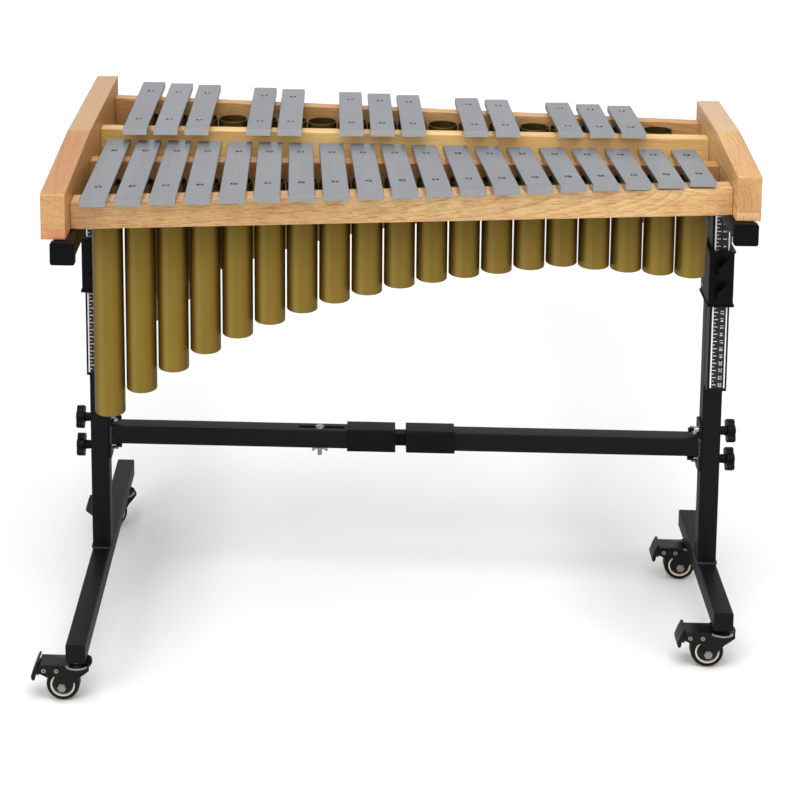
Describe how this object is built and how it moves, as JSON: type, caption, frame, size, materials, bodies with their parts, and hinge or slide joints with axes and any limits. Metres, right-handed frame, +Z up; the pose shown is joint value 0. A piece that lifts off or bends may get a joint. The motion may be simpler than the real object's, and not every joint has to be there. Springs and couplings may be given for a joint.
{
  "type": "vibraphone",
  "caption": "Compact vibraphone: fanned aluminium bars in a wooden frame over tuned resonator tubes, on a height-adjustable steel stand with braked swivel casters.",
  "frame": {"origin": "on the floor under the middle of the whole outline, at the resting height and width", "axes": "+X towards the treble (short-bar) end, +Y away from the player, +Z up"},
  "size_m": [0.9093, 0.529, 0.682],
  "materials": {
    "black_steel": "black powder coat, fine texture",
    "caster_steel": "black stamped steel with zinc rivets and axle nut",
    "black_plastic": "moulded black plastic",
    "zinc": "zinc plated",
    "scale": "black film with white graduations",
    "cream_plastic": "cream moulded wheel core",
    "tyre_rubber": "black elastomer tread",
    "light_wood": "clear satin lacquer over light hardwood",
    "bar_aluminium": "satin anodised silver grey",
    "cushion_rubber": "soft black rubber",
    "gold_tube": "satin olive gold",
    "bracket_aluminium": "dull dark strip"
  },
  "bodies": {
    "left_leg": {"base_left": "black_steel", "post_left": "black_steel", "crossbar_left": "black_steel", "crossbar_collar_left": "black_plastic", "clamp_left": "black_plastic", "crossbar_nuts_left": "zinc"},
    "keyboard": {"riser_left": "black_steel", "height_scale_left": "scale", "arm_left": "black_steel", "arm_caps_left": "black_plastic", "end_block_left": "light_wood", "end_block_right": "light_wood", "rail_front": "light_wood", "rail_inner": "light_wood", "rail_centre": "light_wood", "rail_rear": "light_wood", "natural_bars": "bar_aluminium", "accidental_bars": "bar_aluminium", "bar_screws": "zinc", "bar_cushions": "cushion_rubber", "natural_resonators": "gold_tube", "accidental_resonators": "gold_tube", "resonator_brackets": "bracket_aluminium"},
    "right_leg": {"base_right": "black_steel", "post_right": "black_steel", "crossbar_right": "black_steel", "crossbar_inner": "black_steel", "crossbar_collar_right": "black_plastic", "clamp_right": "black_plastic", "crossbar_nuts_right": "zinc", "slot_bolt": "zinc"},
    "right_riser": {"riser_right": "black_steel", "height_scale_right": "scale", "arm_right": "black_steel", "arm_caps_right": "black_plastic"},
    "slot_nut": {"slot_wing_nut": "zinc"},
    "clamp_knob_left_upper": {"clamp_knob_left_upper": "black_plastic"},
    "crossbar_knob_left_upper": {"crossbar_knob_left_upper": "black_plastic"},
    "clamp_knob_left_lower": {"clamp_knob_left_lower": "black_plastic"},
    "crossbar_knob_left_lower": {"crossbar_knob_left_lower": "black_plastic"},
    "clamp_knob_right_upper": {"clamp_knob_right_upper": "black_plastic"},
    "crossbar_knob_right_upper": {"crossbar_knob_right_upper": "black_plastic"},
    "clamp_knob_right_lower": {"clamp_knob_right_lower": "black_plastic"},
    "crossbar_knob_right_lower": {"crossbar_knob_right_lower": "black_plastic"},
    "caster_front_left": {"fork_front_left": "caster_steel"},
    "caster_wheel_front_left": {"wheel_front_left": "cream_plastic", "tyre_front_left": "tyre_rubber"},
    "caster_brake_front_left": {"brake_front_left": "caster_steel"},
    "caster_rear_left": {"fork_rear_left": "caster_steel"},
    "caster_wheel_rear_left": {"wheel_rear_left": "cream_plastic", "tyre_rear_left": "tyre_rubber"},
    "caster_brake_rear_left": {"brake_rear_left": "caster_steel"},
    "caster_front_right": {"fork_front_right": "caster_steel"},
    "caster_wheel_front_right": {"wheel_front_right": "cream_plastic", "tyre_front_right": "tyre_rubber"},
    "caster_brake_front_right": {"brake_front_right": "caster_steel"},
    "caster_rear_right": {"fork_rear_right": "caster_steel"},
    "caster_wheel_rear_right": {"wheel_rear_right": "cream_plastic", "tyre_rear_right": "tyre_rubber"},
    "caster_brake_rear_right": {"brake_rear_right": "caster_steel"}
  },
  "joints": [
    {"name": "keyboard_height", "type": "slide", "parent": "left_leg", "child": "keyboard", "axis": [0, 0, 1], "range_m": [-0.02, 0.1]},
    {"name": "stand_width", "type": "slide", "parent": "left_leg", "child": "right_leg", "axis": [1, 0, 0], "range_m": [-0.013, 0.025]},
    {"name": "right_riser_height", "type": "slide", "parent": "right_leg", "child": "right_riser", "axis": [0, 0, 1], "range_m": [-0.02, 0.1]},
    {"name": "slot_nut_turn", "type": "hinge", "parent": "right_leg", "child": "slot_nut", "pos_m": [-0.09965, 0.0095, 0.226], "axis": [0, 0, 1], "continuous": true},
    {"name": "clamp_knob_left_upper_turn", "type": "hinge", "parent": "left_leg", "child": "clamp_knob_left_upper", "pos_m": [-0.39825, -0.0405, 0.512], "axis": [0, 1, 0], "continuous": true},
    {"name": "crossbar_knob_left_upper_turn", "type": "hinge", "parent": "left_leg", "child": "crossbar_knob_left_upper", "pos_m": [-0.42325, 0.0095, 0.2645], "axis": [1, 0, 0], "continuous": true},
    {"name": "clamp_knob_left_lower_turn", "type": "hinge", "parent": "left_leg", "child": "clamp_knob_left_lower", "pos_m": [-0.39825, -0.0405, 0.4795], "axis": [0, 1, 0], "continuous": true},
    {"name": "crossbar_knob_left_lower_turn", "type": "hinge", "parent": "left_leg", "child": "crossbar_knob_left_lower", "pos_m": [-0.42325, 0.0095, 0.2245], "axis": [1, 0, 0], "continuous": true},
    {"name": "clamp_knob_right_upper_turn", "type": "hinge", "parent": "right_leg", "child": "clamp_knob_right_upper", "pos_m": [0.42175, -0.0405, 0.5075], "axis": [0, 1, 0], "continuous": true},
    {"name": "crossbar_knob_right_upper_turn", "type": "hinge", "parent": "right_leg", "child": "crossbar_knob_right_upper", "pos_m": [0.44675, 0.0095, 0.2645], "axis": [1, 0, 0], "continuous": true},
    {"name": "clamp_knob_right_lower_turn", "type": "hinge", "parent": "right_leg", "child": "clamp_knob_right_lower", "pos_m": [0.42175, -0.0405, 0.475], "axis": [0, 1, 0], "continuous": true},
    {"name": "crossbar_knob_right_lower_turn", "type": "hinge", "parent": "right_leg", "child": "crossbar_knob_right_lower", "pos_m": [0.44675, 0.0095, 0.2245], "axis": [1, 0, 0], "continuous": true},
    {"name": "swivel_front_left", "type": "hinge", "parent": "left_leg", "child": "caster_front_left", "pos_m": [-0.39825, -0.2305, 0.05], "axis": [0, 0, 1], "continuous": true},
    {"name": "wheel_spin_front_left", "type": "hinge", "parent": "caster_front_left", "child": "caster_wheel_front_left", "pos_m": [-0.41625, -0.2305, 0.021], "axis": [0, 1, 0], "continuous": true},
    {"name": "brake_pedal_front_left", "type": "hinge", "parent": "caster_front_left", "child": "caster_brake_front_left", "pos_m": [-0.43925, -0.2305, 0.042], "axis": [0, 1, 0], "range_deg": [-12, 0]},
    {"name": "swivel_rear_left", "type": "hinge", "parent": "left_leg", "child": "caster_rear_left", "pos_m": [-0.39825, 0.2225, 0.05], "axis": [0, 0, 1], "continuous": true},
    {"name": "wheel_spin_rear_left", "type": "hinge", "parent": "caster_rear_left", "child": "caster_wheel_rear_left", "pos_m": [-0.41204, 0.21093, 0.021], "axis": [-0.6428, 0.766, 0], "continuous": true},
    {"name": "brake_pedal_rear_left", "type": "hinge", "parent": "caster_rear_left", "child": "caster_brake_rear_left", "pos_m": [-0.42966, 0.19615, 0.042], "axis": [-0.6428, 0.766, 0], "range_deg": [-12, 0]},
    {"name": "swivel_front_right", "type": "hinge", "parent": "right_leg", "child": "caster_front_right", "pos_m": [0.42175, -0.1135, 0.05], "axis": [0, 0, 1], "continuous": true},
    {"name": "wheel_spin_front_right", "type": "hinge", "parent": "caster_front_right", "child": "caster_wheel_front_right", "pos_m": [0.40375, -0.1135, 0.021], "axis": [0, 1, 0], "continuous": true},
    {"name": "brake_pedal_front_right", "type": "hinge", "parent": "caster_front_right", "child": "caster_brake_front_right", "pos_m": [0.38075, -0.1135, 0.042], "axis": [0, 1, 0], "range_deg": [-12, 0]},
    {"name": "swivel_rear_right", "type": "hinge", "parent": "right_leg", "child": "caster_rear_right", "pos_m": [0.42175, 0.1055, 0.05], "axis": [0, 0, 1], "continuous": true},
    {"name": "wheel_spin_rear_right", "type": "hinge", "parent": "caster_rear_right", "child": "caster_wheel_rear_right", "pos_m": [0.40375, 0.1055, 0.021], "axis": [0, 1, 0], "continuous": true},
    {"name": "brake_pedal_rear_right", "type": "hinge", "parent": "caster_rear_right", "child": "caster_brake_rear_right", "pos_m": [0.38075, 0.1055, 0.042], "axis": [0, 1, 0], "range_deg": [-12, 0]}
  ],
  "couplings": [
    {"joint": "right_riser_height", "follows": "keyboard_height", "ratio": 1}
  ]
}
